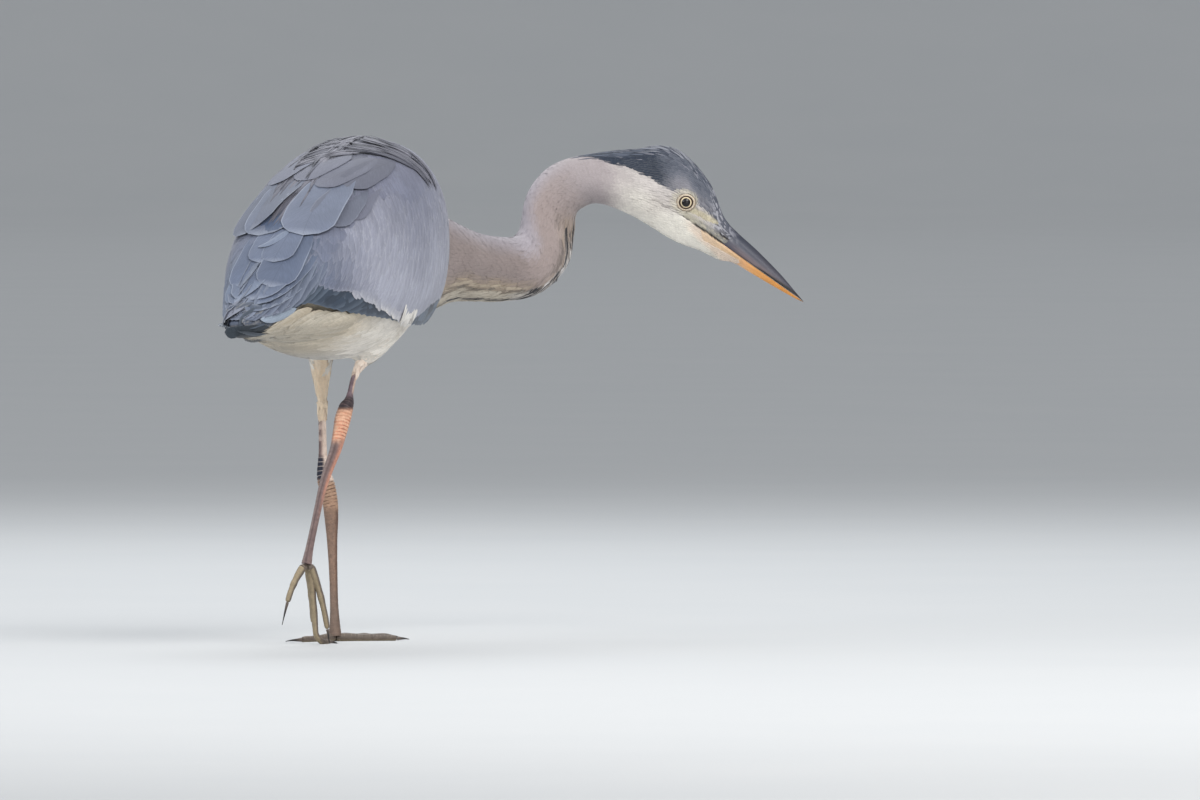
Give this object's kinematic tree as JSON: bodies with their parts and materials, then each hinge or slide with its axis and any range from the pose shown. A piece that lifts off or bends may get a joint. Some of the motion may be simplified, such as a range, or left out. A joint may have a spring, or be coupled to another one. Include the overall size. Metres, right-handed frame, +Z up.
{
  "type": "grey heron",
  "caption": "Life-size still model of a grey heron stalking: body pitched up, neck kinked forward to one side, bill pointed down, one foot flat and the other trailing on a toe tip.",
  "frame": {"origin": "on the floor, at the bottom centre of the whole bird's bounding box", "axes": "-Y is forward along the trunk, -X is the bird's right, +Z is up"},
  "size_m": [0.4262, 0.6941, 0.5031],
  "materials": {
    "plumage_back": "soft vaned feathers, lilac grey",
    "plumage_wing": "soft vaned feathers, lilac grey with pale edges",
    "flight_feathers": "smooth stiff vanes, slate blue grey",
    "plumage_neck": "short soft feathers, mauve grey",
    "plumage_head": "very short soft feathers, white cheeks and slate crown",
    "plumage_leg": "short downy feathers, cream",
    "leg_skin": "scaly skin, satin",
    "bill_dark": "horn, satin, slate grey",
    "bill_yellow": "horn, satin, orange yellow",
    "claw": "horn, glossy, dark brown",
    "eye": "wet glossy eye, pale yellow iris, black pupil"
  },
  "bodies": {
    "root": {"trunk": "plumage_back", "wing_left": "plumage_wing", "wing_right": "plumage_wing", "tail": "flight_feathers", "neck_lower": "plumage_neck", "neck_middle": "plumage_neck", "neck_upper": "plumage_neck", "head": "plumage_head", "bill_upper": "bill_dark", "bill_lower": "bill_yellow", "eye_left": "eye", "eye_right": "eye", "thigh_left": "plumage_leg", "thigh_right": "plumage_leg", "shank_left": "leg_skin", "shank_right": "leg_skin", "tarsus_left": "leg_skin", "tarsus_right": "leg_skin", "toe_left_middle": "leg_skin", "claw_left_middle": "claw", "toe_left_inner": "leg_skin", "claw_left_inner": "claw", "toe_left_outer": "leg_skin", "claw_left_outer": "claw", "toe_left_hind": "leg_skin", "claw_left_hind": "claw", "toe_right_middle": "leg_skin", "claw_right_middle": "claw", "toe_right_inner": "leg_skin", "claw_right_inner": "claw", "toe_right_outer": "leg_skin", "claw_right_outer": "claw", "toe_right_hind": "leg_skin", "claw_right_hind": "claw"}
  },
  "joints": []
}
